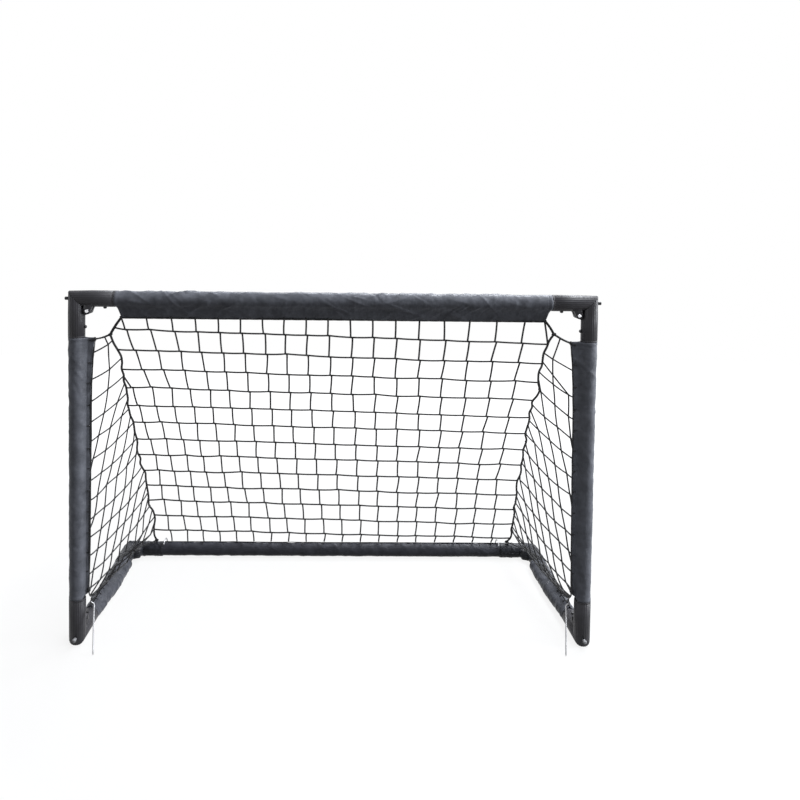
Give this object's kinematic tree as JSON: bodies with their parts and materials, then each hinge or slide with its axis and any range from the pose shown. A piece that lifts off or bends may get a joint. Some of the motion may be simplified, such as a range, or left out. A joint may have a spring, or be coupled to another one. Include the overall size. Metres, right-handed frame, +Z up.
{
  "type": "floorball goal",
  "caption": "Folding floorball goal: black tube frame with hinged corner elbows, fabric sleeves along the bars, a sloping knotted net and wire ground pegs.",
  "frame": {"origin": "on the floor, under the middle of the whole goal's box", "axes": "+X to the right along the crossbar for someone facing the mouth, +Y from the mouth to the back, +Z up"},
  "size_m": [0.9116, 0.3818, 0.61],
  "materials": {
    "elbow_plastic": "satin moulded plastic with fine lengthwise flutes",
    "tube_steel": "dark painted steel",
    "sleeve_fabric": "coated woven polyester with a soft sheen",
    "net_cord": "knotted black cord",
    "zinc_wire": "galvanised wire",
    "bright_steel": "polished rivet",
    "button_plastic": "satin"
  },
  "bodies": {
    "front_frame": {"crossbar_tube": "tube_steel", "left_post_tube": "tube_steel", "right_post_tube": "tube_steel", "left_top_elbow_post_half": "elbow_plastic", "left_top_elbow_crossbar_half": "elbow_plastic", "left_top_post_screw": "tube_steel", "left_top_crossbar_screw": "tube_steel", "left_top_hinge_pin": "bright_steel", "left_foot_elbow_post_half": "elbow_plastic", "left_foot_post_screw": "tube_steel", "left_foot_hinge_pin": "bright_steel", "right_top_elbow_post_half": "elbow_plastic", "right_top_elbow_crossbar_half": "elbow_plastic", "right_top_post_screw": "tube_steel", "right_top_crossbar_screw": "tube_steel", "right_top_hinge_pin": "bright_steel", "right_foot_elbow_post_half": "elbow_plastic", "right_foot_post_screw": "tube_steel", "right_foot_hinge_pin": "bright_steel", "crossbar_sleeve": "sleeve_fabric", "left_post_sleeve": "sleeve_fabric", "right_post_sleeve": "sleeve_fabric", "back_net": "net_cord", "left_net": "net_cord", "right_net": "net_cord", "left_corner_rope": "net_cord", "right_corner_rope": "net_cord", "left_peg_loop": "net_cord", "right_peg_loop": "net_cord"},
    "base_frame": {"left_side_tube": "tube_steel", "right_side_tube": "tube_steel", "rear_tube": "tube_steel", "left_foot_elbow_side_half": "elbow_plastic", "left_foot_side_screw": "tube_steel", "left_rear_elbow_rear_bar_half": "elbow_plastic", "left_rear_elbow_side_half": "elbow_plastic", "left_rear_hinge_pin": "bright_steel", "left_rear_wrap": "sleeve_fabric", "left_side_sleeve": "sleeve_fabric", "right_foot_elbow_side_half": "elbow_plastic", "right_foot_side_screw": "tube_steel", "right_rear_elbow_rear_bar_half": "elbow_plastic", "right_rear_elbow_side_half": "elbow_plastic", "right_rear_hinge_pin": "bright_steel", "right_rear_wrap": "sleeve_fabric", "right_side_sleeve": "sleeve_fabric", "rear_sleeve": "sleeve_fabric"},
    "left_top_lock_button": {"left_top_lock_button": "button_plastic"},
    "left_foot_lock_button": {"left_foot_lock_button": "button_plastic"},
    "left_rear_lock_button": {"left_rear_lock_button": "button_plastic"},
    "right_top_lock_button": {"right_top_lock_button": "button_plastic"},
    "right_foot_lock_button": {"right_foot_lock_button": "button_plastic"},
    "right_rear_lock_button": {"right_rear_lock_button": "button_plastic"},
    "left_front_peg": {"left_front_peg": "zinc_wire"},
    "left_rear_peg": {"left_rear_peg": "zinc_wire"},
    "right_front_peg": {"right_front_peg": "zinc_wire"},
    "right_rear_peg": {"right_rear_peg": "zinc_wire"}
  },
  "joints": [
    {"name": "base_fold", "type": "hinge", "parent": "front_frame", "child": "base_frame", "pos_m": [0, -0.14135, 0.0343], "axis": [1, 0, 0], "range_deg": [0, 90], "deforming": ["back_net", "left_net", "right_net", "left_corner_rope", "right_corner_rope"]},
    {"name": "left_top_lock_press", "type": "slide", "parent": "front_frame", "child": "left_top_lock_button", "axis": [1, 0, 0], "range_m": [0, 0.003], "stiffness_N_per_m": 2000},
    {"name": "left_foot_lock_press", "type": "slide", "parent": "front_frame", "child": "left_foot_lock_button", "axis": [0, 1, 0], "range_m": [0, 0.003], "stiffness_N_per_m": 2000},
    {"name": "left_rear_lock_press", "type": "slide", "parent": "base_frame", "child": "left_rear_lock_button", "axis": [0, -1, 0], "range_m": [0, 0.003], "stiffness_N_per_m": 2000},
    {"name": "right_top_lock_press", "type": "slide", "parent": "front_frame", "child": "right_top_lock_button", "axis": [-1, 0, 0], "range_m": [0, 0.003], "stiffness_N_per_m": 2000},
    {"name": "right_foot_lock_press", "type": "slide", "parent": "front_frame", "child": "right_foot_lock_button", "axis": [0, 1, 0], "range_m": [0, 0.003], "stiffness_N_per_m": 2000},
    {"name": "right_rear_lock_press", "type": "slide", "parent": "base_frame", "child": "right_rear_lock_button", "axis": [0, -1, 0], "range_m": [0, 0.003], "stiffness_N_per_m": 2000},
    {"name": "left_front_peg_swing", "type": "hinge", "parent": "front_frame", "child": "left_front_peg", "pos_m": [-0.4117, -0.16165, 0.07316], "axis": [1, 0, 0], "range_deg": [-60, 0]},
    {"name": "left_rear_peg_swing", "type": "hinge", "parent": "base_frame", "child": "left_rear_peg", "pos_m": [-0.362, 0.16835, 0.014], "axis": [1, 0, 0], "range_deg": [0, 60]},
    {"name": "right_front_peg_swing", "type": "hinge", "parent": "front_frame", "child": "right_front_peg", "pos_m": [0.4117, -0.16165, 0.07316], "axis": [1, 0, 0], "range_deg": [-60, 0]},
    {"name": "right_rear_peg_swing", "type": "hinge", "parent": "base_frame", "child": "right_rear_peg", "pos_m": [0.362, 0.16835, 0.014], "axis": [1, 0, 0], "range_deg": [0, 60]}
  ]
}
